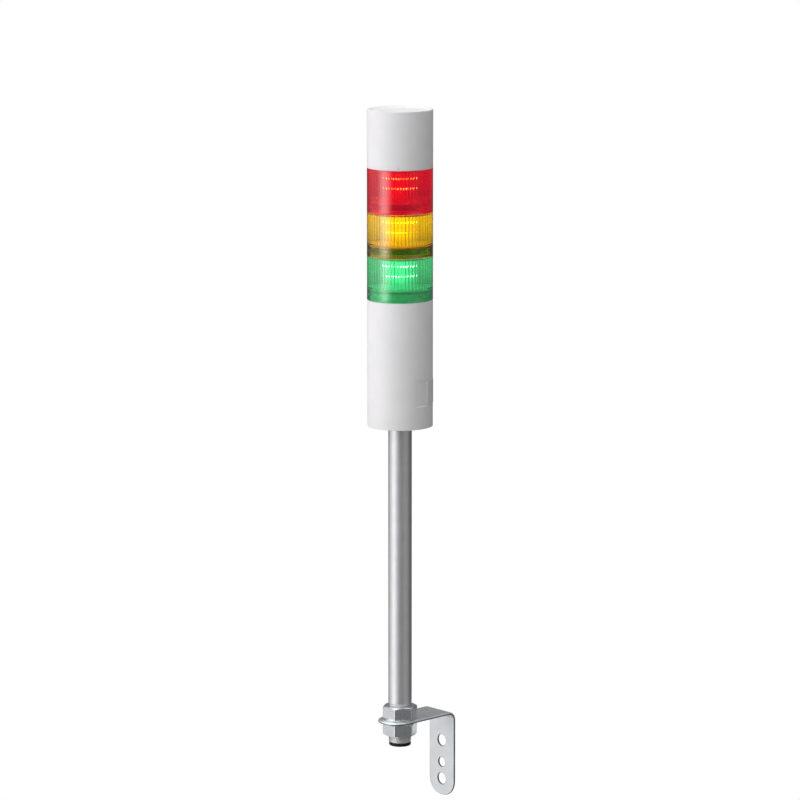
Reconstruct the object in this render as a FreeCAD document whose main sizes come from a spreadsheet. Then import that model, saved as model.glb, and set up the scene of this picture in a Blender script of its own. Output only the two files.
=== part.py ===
import FreeCAD, Part
import os
import re

import Sketcher
from FreeCAD import Placement, Rotation, Vector

# Stack light on an L bracket, in millimetres and degrees.
# Z is up and Y points at the wall. The origin is midway between the two wall bolts, on the
# bracket's wall face. Every round piece shares the mast's vertical axis, wall_reach in front
# of the wall.
SIZES = {
    # Tower: every stacked unit has the same outside diameter
    "head_diameter": 60.0,
    "cap_height": 52.9,
    "tier_height": 39.75,
    "case_height": 116.4,
    "seam_gap": 0.25,
    "edge_round": 0.4,
    "shell_wall": 2.5,
    "shoulder": 1.6,
    # Bayonet: a skirt below each unit turns onto the neck above the one beneath it
    "skirt_wall": 2.7,
    "seat_gap": 0.4,
    "seat_height": 3.4,
    "neck_step": 0.6,
    "neck_wall": 2.0,
    "neck_height": 8.25,
    "lug_count": 3,
    "lug_width": 3.7,
    "lug_depth": 1.8,
    "lug_height": 2.0,
    "lug_rise": 4.2,
    "bayonet_gap": 0.3,
    "twist_angle": 20.0,
    # Seal ring in a groove round the seat
    "seal_section": 1.5,
    "seal_lift": 0.9,
    "seal_gap": 0.3,
    "seal_play": 0.1,
    # Ledge above the skirt, which the carrier disc seats under
    "ledge_height": 10.4,
    "ledge_thickness": 1.2,
    "ledge_width": 1.0,
    # Flutes inside each lens
    "flute_count": 50,
    "flute_depth": 0.8,
    "flute_radius": 2.0,
    "flute_margin": 0.3,
    # Index notches that line up when the units are locked
    "index_angle": 315.0,
    "notch_width": 1.5,
    "notch_height": 3.0,
    "notch_depth": 0.6,
    # Dished top of the cap
    "rim_width": 2.6,
    "dish_slope": 1.6,
    "dish_depth": 1.1,
    # Carrier disc, its plug and the socket on the board beneath
    "carrier_gap": 0.2,
    "carrier_thickness": 1.5,
    "plug_radius": 9.0,
    "plug_bore": 5.0,
    "plug_drop": 8.0,
    "spigot_height": 3.0,
    "socket_gap": 0.4,
    "socket_wall": 1.6,
    "socket_height": 7.0,
    "board_gap": 0.3,
    "board_thickness": 1.6,
    # Light drum with its rows of chips
    "drum_flat": 10.5,
    "drum_sides": 12,
    "drum_gap": 0.1,
    "chip_rows": 2,
    "chip_width": 3.0,
    "chip_height": 3.0,
    "chip_depth": 0.8,
    "chip_drop": 9.0,
    "chip_pitch": 9.0,
    # Sounder inside the cap
    "sounder_radius": 15.0,
    "sounder_height": 11.0,
    "sounder_port": 3.0,
    "sounder_board_radius": 22.0,
    # Case floor, label field and the blank plate in it
    "floor_thickness": 4.0,
    "field_depth": 0.4,
    "field_low": 21.0,
    "field_height": 23.5,
    "field_start": 344.6,
    "field_span": 72.4,
    "plate_span": 43.0,
    "plate_margin": 1.0,
    "plate_thickness": 0.7,
    # Pole, threaded at its lower end
    "pole_diameter": 21.7,
    "pole_bore": 17.3,
    "pole_exposed": 276.2,
    "pole_inserted": 18.0,
    "pole_fit": 0.15,
    "thread_diameter": 20.8,
    "thread_above": 15.5,
    "thread_below": 22.0,
    "thread_fit": 0.1,
    "thread_chamfer": 0.8,
    # Flange that holds the pole in the case
    "flange_radius": 21.0,
    "flange_thickness": 3.0,
    "hub_radius": 14.5,
    "hub_height": 16.0,
    "screw_count": 3,
    "screw_circle": 17.6,
    "screw_radius": 1.5,
    "screw_depth": 2.6,
    "screw_head_radius": 2.7,
    "screw_head_height": 2.2,
    "screw_gap": 0.1,
    "set_screw_radius": 2.0,
    "set_screw_rise": 11.0,
    # Control board and terminal block
    "control_width": 38.0,
    "control_thickness": 1.6,
    "terminal_count": 5,
    "terminal_pitch": 6.0,
    "terminal_depth": 10.0,
    "terminal_height": 12.0,
    "terminal_rise": 16.0,
    "terminal_hole": 3.2,
    "terminal_hole_depth": 7.2,
    # Rubber bush in the pole's lower end
    "bush_radius": 10.15,
    "bush_flange": 3.0,
    "bush_spigot": 8.0,
    "bush_round": 1.2,
    "bush_fit": 0.05,
    "cable_hole": 8.0,
    # Clamping nuts and washers
    "nut_flats": 28.4,
    "nut_height": 11.2,
    "nut_chamfer": 30.0,
    "nut_face_inset": 0.4,
    "nut_turn": 299.2,
    "washer_diameter": 28.6,
    "washer_thickness": 1.6,
    # L bracket, folded from plated sheet
    "wall_reach": 55.8,
    "sheet_thickness": 2.3,
    "bracket_width": 33.2,
    "bend_radius": 6.2,
    "nose_reach": 20.6,
    "corner_radius": 15.0,
    "pole_hole_gap": 0.3,
    "bolt_hole": 11.0,
    "middle_hole": 9.0,
    "bolt_pitch": 37.0,
    "middle_rise": 15.8,
    "plate_above_bolt": 30.7,
    "end_below_bolt": 15.5,
}

# Sizes and heights that follow from the ones above
DERIVED = {
    "head_radius": "head_diameter / 2",
    "shell_radius": "head_radius - shell_wall",
    "skirt_radius": "head_radius - skirt_wall",
    "seat_radius": "skirt_radius - seat_gap",
    "neck_radius": "seat_radius - neck_step",
    "neck_bore": "neck_radius - neck_wall",
    "lug_tip": "skirt_radius - lug_depth",
    "track_floor": "lug_tip - bayonet_gap",
    "track_low": "seam_gap + lug_rise - bayonet_gap",
    "track_height": "lug_height + 2 * bayonet_gap",
    "track_end": "asin((lug_width / 2 + bayonet_gap) / lug_tip) / 1deg",
    "seal_floor": "skirt_radius - seal_gap - seal_section",
    "seal_groove": "seal_section + 2 * seal_play",
    "flute_crest": "shell_radius - flute_depth",
    "ledge_radius": "flute_crest - ledge_width",
    "ledge_top": "ledge_height + ledge_thickness",
    "carrier_radius": "skirt_radius - carrier_gap",
    "spigot_radius": "plug_radius",
    "board_radius": "neck_bore - board_gap",
    "socket_bore": "plug_radius + socket_gap",
    "socket_radius": "socket_bore + socket_wall",
    "drum_height": "tier_height - shoulder - ledge_height",
    "pole_radius": "pole_diameter / 2",
    "pole_bore_radius": "pole_bore / 2",
    "thread_radius": "thread_diameter / 2",
    "nut_corner": "nut_flats / 2 / cos(30)",
    "bolt_height": "bolt_pitch / 2",
    "plate_top": "bolt_height + plate_above_bolt",
    "plate_under": "plate_top - sheet_thickness",
    "upper_nut_seat": "plate_top + washer_thickness",
    "lower_nut_seat": "plate_under - washer_thickness",
    "pole_end": "plate_top - thread_below",
    "case_foot": "plate_top + pole_exposed",
    "green_foot": "case_foot + case_height + seam_gap",
    "amber_foot": "green_foot + tier_height + seam_gap",
    "red_foot": "amber_foot + tier_height + seam_gap",
    "cap_foot": "red_foot + tier_height + seam_gap",
    "control_foot": "floor_thickness + hub_height",
    "control_top": "case_height - shoulder",
}

SHEET = "Sizes"

# Least volume that a feature must change, and how close two lengths count as the same
MIN_CHANGE = 1e-3
SAME = 1e-4

doc = FreeCAD.newDocument("StackLight")
sheet = doc.addObject("Spreadsheet::Sheet", SHEET)
parts = []


# Sizes

def fill_sheet():
    for row, (name, value) in enumerate(SIZES.items(), start=1):
        sheet.set("A%d" % row, name)
        sheet.set("B%d" % row, str(value))
        sheet.setAlias("B%d" % row, name)
    doc.recompute()


def tied(text):
    """The expression with derived names written out and sheet names addressed."""
    def word(match):
        name = match.group(0)
        if name in DERIVED:
            return "(" + tied(DERIVED[name]) + ")"
        return SHEET + "." + name if name in SIZES else name
    return re.sub(r"[a-z_]+", word, text)


def size(text):
    """The expression's value as a plain number."""
    return float(sheet.evalExpression(tied(text)))


def tie(thing, path, text):
    thing.setExpression(path, tied(text))


# Bodies and sketches

def body_on_axis(label, lift, turn="0"):
    """A new body whose own origin lies on the mast's axis at the height lift."""
    body = doc.addObject("PartDesign::Body", label)
    body.Placement = Placement(Vector(), Rotation(Vector(0, 0, 1), 1))
    tie(body, "Placement.Base.y", "0 - wall_reach")
    tie(body, "Placement.Base.z", lift)
    tie(body, "Placement.Rotation.Angle", turn)
    parts.append(body)
    return body


def sketch_on(body, name, role, lift=None, turn=None):
    """A sketch on one of the body's own planes, lifted off it or turned about the Z axis."""
    sketch = body.newObject("Sketcher::SketchObject", name)
    plane = next(item for item in body.Origin.OriginFeatures if item.Role == role)
    sketch.AttachmentSupport = [(plane, "")]
    sketch.MapMode = "FlatFace"
    if turn:
        upright = Vector(0, 0, 1) if role == "XY_Plane" else Vector(0, 1, 0)
        sketch.AttachmentOffset = Placement(Vector(), Rotation(upright, 1))
        tie(sketch, "AttachmentOffset.Rotation.Angle", turn)
    if lift:
        tie(sketch, "AttachmentOffset.Base.z", lift)
    return sketch


def draw_outline(sketch, points):
    """A closed run of straight lines through points given as pairs of expressions."""
    spots = [Vector(size(x), size(y), 0) for x, y in points]
    count = len(spots)
    first = sketch.GeometryCount
    for i in range(count):
        sketch.addGeometry(Part.LineSegment(spots[i], spots[(i + 1) % count]), False)
    for i in range(count):
        following = first + (i + 1) % count
        sketch.addConstraint(Sketcher.Constraint("Coincident", first + i, 2, following, 1))
    for i, (x, y) in enumerate(points):
        for kind, text, value in (("DistanceX", x, spots[i].x), ("DistanceY", y, spots[i].y)):
            rule = Sketcher.Constraint(kind, -1, 1, first + i, 1, value)
            number = sketch.addConstraint(rule)
            tie(sketch, "Constraints[%d]" % number, text)


def draw_circle(sketch, radius, x="0", y="0"):
    centre = Vector(size(x), size(y), 0)
    number = sketch.addGeometry(Part.Circle(centre, Vector(0, 0, 1), size(radius)), False)
    rules = (
        (Sketcher.Constraint("DistanceX", -1, 1, number, 3, centre.x), x),
        (Sketcher.Constraint("DistanceY", -1, 1, number, 3, centre.y), y),
        (Sketcher.Constraint("Radius", number, size(radius)), radius),
    )
    for rule, text in rules:
        tie(sketch, "Constraints[%d]" % sketch.addConstraint(rule), text)


def rectangle(left, right, low, high):
    return [(left, low), (right, low), (right, high), (left, high)]


# Features

def revolve(body, name, points):
    profile = sketch_on(body, name + "Profile", "XZ_Plane")
    draw_outline(profile, points)
    feature = body.newObject("PartDesign::Revolution", name)
    feature.Profile = profile
    feature.ReferenceAxis = (profile, ["V_Axis"])
    feature.Angle = 360
    doc.recompute()
    return feature


def groove(body, name, points, span="360", turn=None):
    """A revolved cut, span degrees wide and centred on the angle turn."""
    profile = sketch_on(body, name + "Profile", "XZ_Plane", turn=turn)
    draw_outline(profile, points)
    before = body.Shape.Volume
    feature = body.newObject("PartDesign::Groove", name)
    feature.Profile = profile
    feature.ReferenceAxis = (profile, ["V_Axis"])
    feature.Midplane = True
    tie(feature, "Angle", span)
    must_change(body, feature, before)
    return feature


def pad(body, name, sketch, length, midplane=False):
    before = body.Shape.Volume if body.Tip else 0.0
    feature = body.newObject("PartDesign::Pad", name)
    feature.Profile = sketch
    feature.Midplane = midplane
    tie(feature, "Length", length)
    must_change(body, feature, before)
    return feature


def pocket(body, name, sketch, length, along_normal=False):
    """A straight cut, against the sketch's normal unless along_normal is set."""
    before = body.Shape.Volume
    feature = body.newObject("PartDesign::Pocket", name)
    feature.Profile = sketch
    feature.Reversed = along_normal
    tie(feature, "Length", length)
    must_change(body, feature, before)
    return feature


def ring_of(body, name, features, sketch, count):
    """Equal copies of features round the sketch's normal."""
    before = body.Shape.Volume
    pattern = body.newObject("PartDesign::PolarPattern", name)
    pattern.Originals = features
    pattern.Axis = (sketch, ["N_Axis"])
    pattern.Angle = 360
    tie(pattern, "Occurrences", count)
    body.Tip = pattern
    must_change(body, pattern, before)
    return pattern


def dress(body, kind, name, amount, wanted):
    """A fillet or chamfer on the tip's edges that wanted picks out."""
    base = body.Tip
    edges = ["Edge%d" % i for i, edge in enumerate(base.Shape.Edges, start=1) if wanted(edge)]
    feature = body.newObject("PartDesign::" + kind, name)
    feature.Base = (base, edges)
    tie(feature, "Radius" if kind == "Fillet" else "Size", amount)
    doc.recompute()
    return feature


def must_change(body, feature, before):
    doc.recompute()
    if abs(body.Shape.Volume - before) < MIN_CHANGE:
        raise RuntimeError(feature.Label + " changes nothing")


def is_circle(edge, radius, height):
    """Whether the edge is a circle of this radius at this height in its own body."""
    curve = edge.Curve
    if not isinstance(curve, Part.Circle):
        return False
    return abs(curve.Radius - size(radius)) < SAME and abs(curve.Center.z - size(height)) < SAME


# Features that several units share

def neck_outline(foot):
    """Outer side of a bayonet neck, from its shoulder to its bore, standing on foot."""
    groove_top = foot + " + seal_lift + seal_groove"
    return [
        ("seat_radius", foot),
        ("seat_radius", foot + " + seal_lift"),
        ("seal_floor", foot + " + seal_lift"),
        ("seal_floor", groove_top),
        ("seat_radius", groove_top),
        ("seat_radius", foot + " + seat_height"),
        ("neck_radius", foot + " + seat_height + neck_step"),
        ("neck_radius", foot + " + neck_height - neck_step"),
        ("neck_radius - neck_step", foot + " + neck_height"),
        ("neck_bore", foot + " + neck_height"),
    ]


def cut_bayonet_tracks(body, foot):
    """Three L-shaped tracks: down from the neck's top, then round by the twist."""
    track = groove(
        body, "Track",
        rectangle("track_floor", "skirt_radius", foot + " + track_low",
                  foot + " + track_low + track_height"),
        span="twist_angle + 2 * track_end", turn="twist_angle / 2")
    mouth = sketch_on(body, "EntryOutline", "XY_Plane", lift=foot + " + track_low",
                      turn="twist_angle")
    half = "lug_width / 2 + bayonet_gap"
    draw_outline(mouth, rectangle("track_floor", "skirt_radius", "0 - (" + half + ")", half))
    entry = pocket(body, "Entry", mouth, "neck_height", along_normal=True)
    ring_of(body, "Tracks", [track, entry], mouth, "lug_count")


def add_bayonet_lugs(body):
    """Lugs inside the skirt, which run in the tracks of the neck below."""
    outline = sketch_on(body, "LugOutline", "XY_Plane", lift="lug_rise")
    root = "skirt_radius + skirt_wall / 2"
    draw_outline(outline, rectangle("lug_tip", root, "0 - lug_width / 2", "lug_width / 2"))
    lug = pad(body, "Lug", outline, "lug_height")
    ring_of(body, "Lugs", [lug], outline, "lug_count")


def cut_index_notch(body):
    outline = sketch_on(body, "NotchOutline", "XY_Plane", turn="index_angle")
    inner = "head_radius - notch_depth"
    outer = "head_radius + notch_depth"
    draw_outline(outline, rectangle(inner, outer, "0 - notch_width / 2", "notch_width / 2"))
    pocket(body, "IndexNotch", outline, "notch_height", along_normal=True)


def cut_flutes(body):
    """Round flutes down the inside of the lens, open at neither end."""
    low = "ledge_top + flute_margin"
    outline = sketch_on(body, "FluteOutline", "XY_Plane", lift=low)
    draw_circle(outline, "flute_radius", x="flute_crest + flute_depth - flute_radius")
    high = "tier_height - shoulder - flute_margin"
    flute = pocket(body, "Flute", outline, high + " - (" + low + ")", along_normal=True)
    ring_of(body, "Flutes", [flute], outline, "flute_count")


# Light units

def lens(label, foot):
    """One moulded lens: skirt with lugs, fluted wall, shoulder and bayonet neck."""
    body = body_on_axis(label, foot)
    inside_shoulder = "tier_height - shoulder"
    outline = [("skirt_radius", "0"), ("head_radius", "0"), ("head_radius", "tier_height")]
    outline += neck_outline("tier_height")
    outline += [
        ("neck_bore", inside_shoulder),
        ("flute_crest", inside_shoulder),
        ("flute_crest", "ledge_top"),
        ("ledge_radius", "ledge_top"),
        ("ledge_radius", "ledge_height"),
        ("skirt_radius", "ledge_height"),
    ]
    revolve(body, "Wall", outline)
    cut_index_notch(body)
    add_bayonet_lugs(body)
    cut_flutes(body)
    cut_bayonet_tracks(body, "tier_height")


def carrier(label, foot):
    """Disc under a unit's ledge, with a contact plug below and a locating spigot above."""
    body = body_on_axis(label, foot + " + ledge_height - carrier_thickness - plug_drop")
    disc_top = "plug_drop + carrier_thickness"
    revolve(body, "Disc", [
        ("plug_bore", "0"),
        ("plug_radius", "0"),
        ("plug_radius", "plug_drop"),
        ("carrier_radius", "plug_drop"),
        ("carrier_radius", disc_top),
        ("spigot_radius", disc_top),
        ("spigot_radius", disc_top + " + spigot_height"),
        ("plug_bore", disc_top + " + spigot_height"),
    ])


def light_drum(label, foot):
    """Many-sided reflector drum that stands on the carrier round its spigot."""
    body = body_on_axis(label, foot + " + ledge_height")
    outline = sketch_on(body, "DrumOutline", "XY_Plane")
    corners = []
    for i in range(int(size("drum_sides"))):
        angle = "(%d + 0.5) * 360 / drum_sides" % i
        corner = "drum_flat / cos(180 / drum_sides)"
        corners.append((corner + " * cos(" + angle + ")", corner + " * sin(" + angle + ")"))
    draw_outline(outline, corners)
    draw_circle(outline, "spigot_radius + drum_gap")
    pad(body, "Drum", outline, "drum_height")


def light_chips(label, foot):
    """Rows of light chips, one chip of each row on every face of the drum."""
    depth = size("chip_depth")
    width = size("chip_width")
    height = size("chip_height")
    sides = int(size("drum_sides"))
    top = size("tier_height - chip_drop")
    chips = []
    for row in range(int(size("chip_rows"))):
        low = top - row * size("chip_pitch") - height / 2
        for side in range(sides):
            chip = Part.makeBox(depth, width, height, Vector(size("drum_flat"), -width / 2, low))
            chip.rotate(Vector(), Vector(0, 0, 1), side * 360 / sides)
            chips.append(chip)
    group = doc.addObject("Part::Feature", label)
    group.Shape = Part.makeCompound(chips)
    group.Placement = Placement(Vector(0, -size("wall_reach"), size(foot)), Rotation())
    parts.append(group)


def contact_board(label, foot):
    """Round board in a neck's bore, with the socket ring for the next unit's plug."""
    body = body_on_axis(label, foot + " - shoulder")
    revolve(body, "Board", [
        ("socket_bore", "0"),
        ("board_radius", "0"),
        ("board_radius", "board_thickness"),
        ("socket_radius", "board_thickness"),
        ("socket_radius", "board_thickness + socket_height"),
        ("socket_bore", "board_thickness + socket_height"),
    ])


def seal_ring(label, foot):
    """Square-section rubber ring in the neck's groove, just clear of the skirt round it."""
    body = body_on_axis(label, foot + " + seal_lift + (seal_groove - seal_section) / 2")
    revolve(body, "Ring", rectangle("seal_floor", "seal_floor + seal_section", "0",
                                    "seal_section"))


def light_unit(colour, foot):
    top = foot + " + tier_height"
    lens(colour + "_lens", foot)
    carrier(colour + "_carrier", foot)
    light_drum(colour + "_light_drum", foot)
    light_chips(colour + "_light_chips", foot)
    contact_board(colour + "_contact_board", top)
    seal_ring(colour + "_seal_ring", top)


# Cap

def head_cap():
    """Closed white cap with a dished top and the same skirt as a light unit."""
    body = body_on_axis("head_cap", "cap_foot")
    dish_floor = "cap_height - dish_depth"
    dish_edge = "head_radius - rim_width"
    revolve(body, "Shell", [
        ("skirt_radius", "0"),
        ("head_radius", "0"),
        ("head_radius", "cap_height"),
        (dish_edge, "cap_height"),
        (dish_edge + " - dish_slope", dish_floor),
        ("0", dish_floor),
        ("0", dish_floor + " - shell_wall"),
        ("shell_radius", dish_floor + " - shell_wall"),
        ("shell_radius", "ledge_top"),
        ("ledge_radius", "ledge_top"),
        ("ledge_radius", "ledge_height"),
        ("skirt_radius", "ledge_height"),
    ])
    dress(body, "Fillet", "TopRound", "edge_round",
          lambda edge: is_circle(edge, "head_radius", "cap_height"))
    add_bayonet_lugs(body)
    cut_index_notch(body)


def sounder_board():
    body = body_on_axis("sounder_board", "cap_foot + ledge_height")
    outline = sketch_on(body, "BoardOutline", "XY_Plane")
    draw_circle(outline, "sounder_board_radius")
    draw_circle(outline, "spigot_radius + drum_gap")
    pad(body, "Board", outline, "board_thickness")


def sounder():
    """Round sounder capsule with a port in its lid, standing on its board."""
    body = body_on_axis("sounder", "cap_foot + ledge_height + board_thickness")
    hollow = "spigot_height + sounder_port"
    revolve(body, "Capsule", [
        ("spigot_radius + drum_gap", "0"),
        ("sounder_radius", "0"),
        ("sounder_radius", "sounder_height"),
        ("sounder_port", "sounder_height"),
        ("sounder_port", hollow),
        ("spigot_radius + drum_gap", hollow),
    ])


# Case

def case_shell():
    """White case with a floor for the pole, a neck on top and a shallow label field."""
    body = body_on_axis("case_shell", "case_foot")
    inside_shoulder = "case_height - shoulder"
    outline = [
        ("pole_radius + pole_fit", "0"),
        ("head_radius", "0"),
        ("head_radius", "case_height"),
    ]
    outline += neck_outline("case_height")
    outline += [
        ("neck_bore", inside_shoulder),
        ("shell_radius", inside_shoulder + " - (shell_radius - neck_bore)"),
        ("shell_radius", "floor_thickness"),
        ("pole_radius + pole_fit", "floor_thickness"),
    ]
    revolve(body, "Shell", outline)
    groove(body, "LabelField",
           rectangle("head_radius - field_depth", "head_radius + field_depth", "field_low",
                     "field_low + field_height"),
           span="field_span", turn="field_start + field_span / 2")
    dress(body, "Fillet", "FootRound", "edge_round",
          lambda edge: is_circle(edge, "head_radius", "0"))
    cut_bayonet_tracks(body, "case_height")
    drill_flange_screws(body, "floor_thickness", "screw_depth")


def drill_flange_screws(body, top, depth):
    """Screw holes downward from the height top, on the flange's screw circle."""
    outline = sketch_on(body, "ScrewOutline", "XY_Plane", lift=top)
    draw_circle(outline, "screw_radius + screw_gap", x="screw_circle")
    hole = pocket(body, "ScrewHole", outline, depth)
    ring_of(body, "ScrewHoles", [hole], outline, "screw_count")


def blank_plate():
    """Thin bare plate seated in the label field, standing a little proud of the case."""
    body = body_on_axis("blank_plate", "case_foot + field_low + plate_margin")
    turn = "field_start + field_span - plate_margin - plate_span / 2"
    profile = sketch_on(body, "PlateProfile", "XZ_Plane", turn=turn)
    inner = "head_radius - field_depth"
    draw_outline(profile, rectangle(inner, inner + " + plate_thickness", "0",
                                    "field_height - 2 * plate_margin"))
    plate = body.newObject("PartDesign::Revolution", "Plate")
    plate.Profile = profile
    plate.ReferenceAxis = (profile, ["V_Axis"])
    plate.Midplane = True
    tie(plate, "Angle", "plate_span")
    doc.recompute()


def pole_flange():
    """Flange and hub on the case floor, which grip the top of the pole."""
    body = body_on_axis("pole_flange", "case_foot + floor_thickness")
    bore = "pole_radius + pole_fit"
    revolve(body, "Flange", [
        (bore, "0"),
        ("flange_radius", "0"),
        ("flange_radius", "flange_thickness"),
        ("hub_radius", "flange_thickness"),
        ("hub_radius", "hub_height"),
        (bore, "hub_height"),
    ])
    drill_flange_screws(body, "flange_thickness", "flange_thickness")
    outline = sketch_on(body, "SetScrewOutline", "XZ_Plane")
    draw_circle(outline, "set_screw_radius + screw_gap", y="set_screw_rise")
    pocket(body, "SetScrewHole", outline, "hub_radius + screw_gap")


def flange_screws():
    """Screws that fix the flange to the case floor."""
    seat = size("case_foot + floor_thickness + flange_thickness")
    shank_length = size("flange_thickness + screw_depth - screw_gap")
    screws = []
    for i in range(int(size("screw_count"))):
        shank = Part.makeCylinder(size("screw_radius"), shank_length,
                                  Vector(size("screw_circle"), 0, -shank_length))
        head = Part.makeCylinder(size("screw_head_radius"), size("screw_head_height"),
                                 Vector(size("screw_circle"), 0, 0))
        screw = shank.fuse(head).removeSplitter()
        screw.rotate(Vector(), Vector(0, 0, 1), i * 360 / size("screw_count"))
        screws.append(screw)
    group = doc.addObject("Part::Feature", "flange_screws")
    group.Shape = Part.makeCompound(screws)
    group.Placement = Placement(Vector(0, -size("wall_reach"), seat), Rotation())
    parts.append(group)


def set_screw():
    """Grub screw through the hub, with its point against the pole."""
    screw = doc.addObject("Part::Cylinder", "set_screw")
    screw.Placement = Placement(Vector(), Rotation(Vector(1, 0, 0), 270))
    tie(screw, "Radius", "set_screw_radius")
    tie(screw, "Height", "hub_radius - pole_radius")
    tie(screw, "Placement.Base.y", "pole_radius - wall_reach")
    tie(screw, "Placement.Base.z", "case_foot + floor_thickness + set_screw_rise")
    parts.append(screw)


def control_board():
    """Upright board from the flange's hub to the contact board."""
    body = body_on_axis("control_board", "case_foot + control_foot")
    outline = sketch_on(body, "BoardOutline", "XY_Plane")
    half = "control_width / 2"
    draw_outline(outline, rectangle("0 - " + half, half, "0", "control_thickness"))
    pad(body, "Board", outline, "control_top - control_foot")


def terminal_block():
    """Terminal block on the face of the control board, with its wire holes downward."""
    body = body_on_axis("terminal_block", "case_foot + control_foot + terminal_rise")
    outline = sketch_on(body, "BlockOutline", "XY_Plane")
    half = "terminal_count * terminal_pitch / 2"
    draw_outline(outline, rectangle("0 - " + half, half, "0 - terminal_depth", "0"))
    pad(body, "Block", outline, "terminal_height")
    holes = sketch_on(body, "WireHoles", "XY_Plane")
    for i in range(int(size("terminal_count"))):
        draw_circle(holes, "terminal_hole / 2", x="(%d.5) * terminal_pitch - %s" % (i, half),
                    y="0 - terminal_depth / 2")
    pocket(body, "WireHolePocket", holes, "terminal_hole_depth", along_normal=True)


# Pole and clamp

def pole():
    """Tube with a reduced thread at its lower end."""
    body = body_on_axis("pole", "pole_end")
    thread_length = "thread_below + thread_above"
    length = "thread_below + pole_exposed + pole_inserted"
    revolve(body, "Tube", [
        ("pole_bore_radius", "0"),
        ("thread_radius - thread_chamfer", "0"),
        ("thread_radius", "thread_chamfer"),
        ("thread_radius", thread_length),
        ("pole_radius", thread_length + " + pole_radius - thread_radius"),
        ("pole_radius", length),
        ("pole_bore_radius", length),
    ])


def end_bush():
    """Rubber bush pressed into the pole's lower end, with the cable hole through it."""
    body = body_on_axis("end_bush", "pole_end - bush_flange")
    spigot = "pole_bore_radius - bush_fit"
    top = "bush_flange + bush_spigot"
    revolve(body, "Bush", [
        ("cable_hole / 2", "0"),
        ("bush_radius", "0"),
        ("bush_radius", "bush_flange"),
        (spigot, "bush_flange"),
        (spigot, top),
        ("cable_hole / 2", top),
    ])
    dress(body, "Fillet", "BushRound", "bush_round",
          lambda edge: is_circle(edge, "bush_radius", "0"))


def nut(label, foot, chamfer_up):
    """Hexagon nut, its corners turned off on the side away from the bracket."""
    body = body_on_axis(label, foot, turn="nut_turn")
    outline = sketch_on(body, "Hexagon", "XY_Plane")
    draw_outline(outline, [
        ("nut_corner * cos(%d)" % angle, "nut_corner * sin(%d)" % angle)
        for angle in range(0, 360, 60)])
    draw_circle(outline, "thread_radius + thread_fit")
    pad(body, "Blank", outline, "nut_height")
    inner = "nut_flats / 2 - nut_face_inset"
    outer = "nut_corner + nut_face_inset"
    drop = "(" + outer + " - (" + inner + ")) * tan(nut_chamfer)"
    near = "nut_height" if chamfer_up else "0"
    far = "nut_height - " + drop if chamfer_up else drop
    groove(body, "Chamfer", [(inner, near), (outer, near), (outer, far)])


def washer(label, foot):
    body = body_on_axis(label, foot)
    outline = sketch_on(body, "Ring", "XY_Plane")
    draw_circle(outline, "washer_diameter / 2")
    draw_circle(outline, "thread_radius + pole_hole_gap")
    pad(body, "Washer", outline, "washer_thickness")


# Bracket

def bracket():
    """Sheet folded once: a round-nosed plate for the pole and a leg with three holes."""
    body = doc.addObject("PartDesign::Body", "l_bracket")
    parts.append(body)
    nose = "0 - (wall_reach + nose_reach)"
    end = "0 - (bolt_height + end_below_bolt)"
    inner_face = "0 - sheet_thickness"
    profile = sketch_on(body, "Fold", "YZ_Plane")
    draw_outline(profile, [
        (nose, "plate_under"),
        (inner_face, "plate_under"),
        (inner_face, end),
        ("0", end),
        ("0", "plate_top"),
        (nose, "plate_top"),
    ])
    pad(body, "Sheet", profile, "bracket_width", midplane=True)
    width = size("bracket_width")

    def along_x(edge, y, z):
        middle = edge.CenterOfMass
        return (abs(edge.Length - width) < SAME and abs(middle.y - size(y)) < SAME
                and abs(middle.z - size(z)) < SAME)

    dress(body, "Fillet", "InnerBend", "bend_radius",
          lambda edge: along_x(edge, inner_face, "plate_under"))
    dress(body, "Fillet", "OuterBend", "bend_radius + sheet_thickness",
          lambda edge: along_x(edge, "0", "plate_top"))

    def at_corner(edge, y, z):
        middle = edge.CenterOfMass
        return (abs(edge.Length - size("sheet_thickness")) < SAME
                and abs(abs(middle.x) - width / 2) < SAME
                and (abs(middle.y - size(y)) < SAME or abs(middle.z - size(z)) < SAME))

    dress(body, "Fillet", "RoundEnds", "corner_radius", lambda edge: at_corner(edge, nose, end))
    pole_hole = sketch_on(body, "PoleHoleOutline", "XY_Plane", lift="plate_top")
    draw_circle(pole_hole, "thread_radius + pole_hole_gap", y="0 - wall_reach")
    pocket(body, "PoleHole", pole_hole, "sheet_thickness")
    wall_holes = sketch_on(body, "WallHoleOutline", "XZ_Plane")
    draw_circle(wall_holes, "bolt_hole / 2", y="bolt_height")
    draw_circle(wall_holes, "bolt_hole / 2", y="0 - bolt_height")
    draw_circle(wall_holes, "middle_hole / 2", y="middle_rise - bolt_height")
    pocket(body, "WallHoles", wall_holes, "sheet_thickness", along_normal=True)


# Check and export

def check_document():
    """Stop on any failed object and on any sub-part without a sound solid."""
    failed = [item.Label for item in doc.Objects
              if "Invalid" in item.State or "Error" in item.State]
    for part in parts:
        if part.Shape.isNull() or not part.Shape.isValid() or part.Shape.Volume < MIN_CHANGE:
            failed.append(part.Label + " shape")
    if failed:
        raise RuntimeError("failed: " + ", ".join(failed))


def export_parts():
    os.makedirs("parts", exist_ok=True)
    for part in parts:
        part.Shape.exportStep(os.path.join("parts", part.Label + ".step"))


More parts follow.
